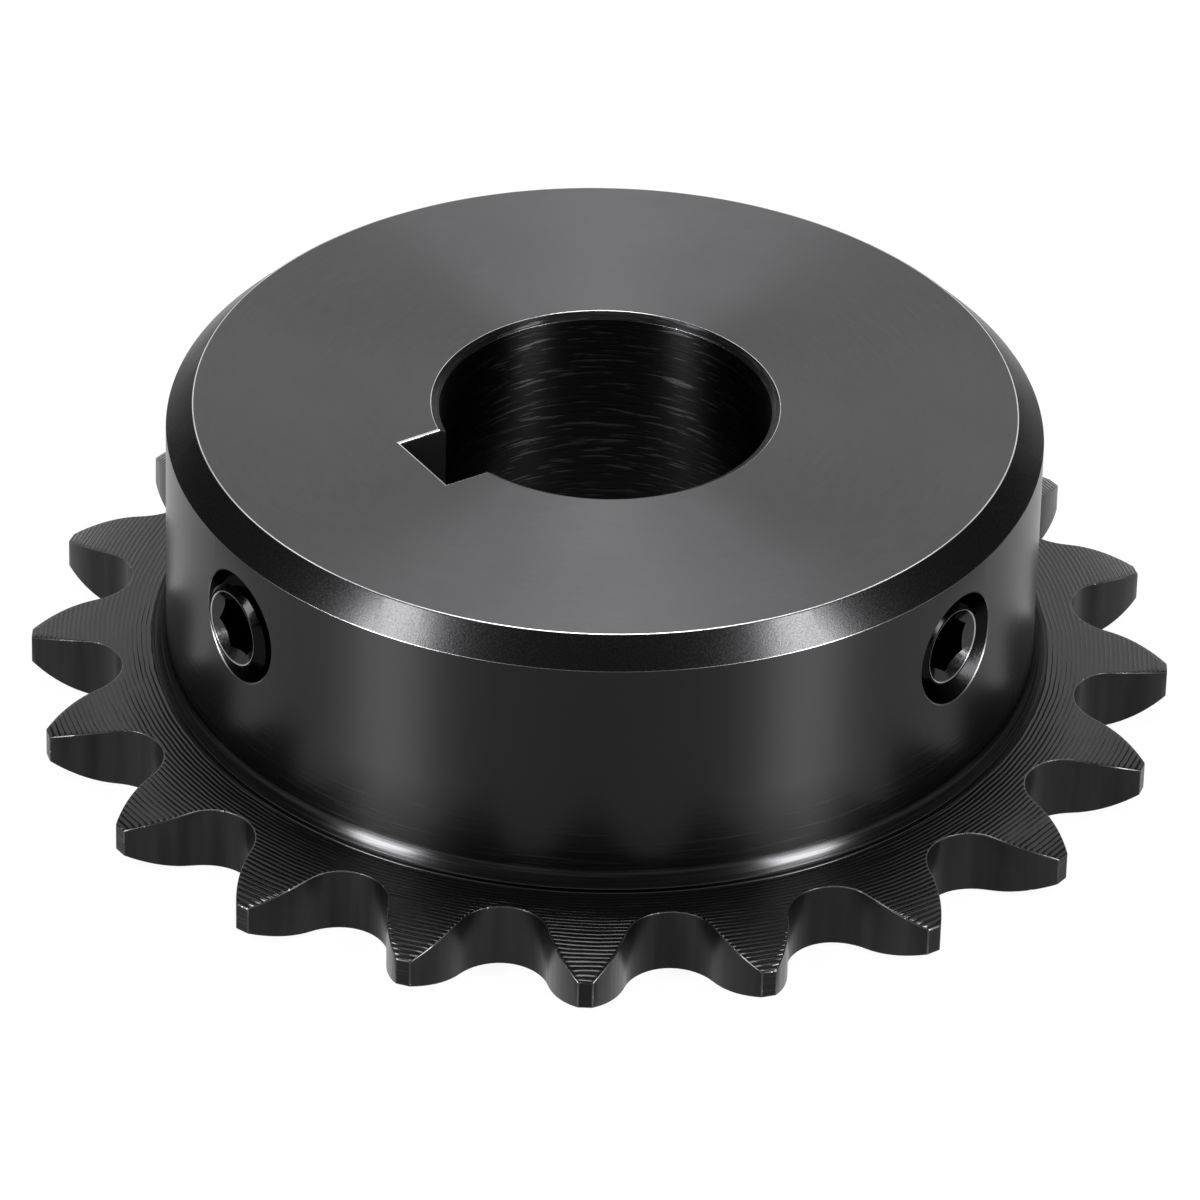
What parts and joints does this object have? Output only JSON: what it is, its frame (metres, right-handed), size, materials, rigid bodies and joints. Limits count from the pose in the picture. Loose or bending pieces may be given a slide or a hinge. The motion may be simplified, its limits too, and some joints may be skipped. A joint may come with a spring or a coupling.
{
  "type": "chain sprocket",
  "caption": "Roller chain sprocket with a hub on one side, a finished bore with a keyway, and two set screws in the hub.",
  "frame": {"origin": "on the bore's axis, at the back face of the toothed plate", "axes": "+Z along the bore, out of the hub's face; +X through the middle of the keyway"},
  "size_m": [0.0658, 0.0658, 0.0198],
  "materials": {
    "sprocket_steel": "black oxide, satin, with turning marks",
    "screw_steel": "black oxide, a little glossier than the sprocket"
  },
  "bodies": {
    "root": {"sprocket": "sprocket_steel", "key_set_screw": "screw_steel", "side_set_screw": "screw_steel"}
  },
  "joints": []
}
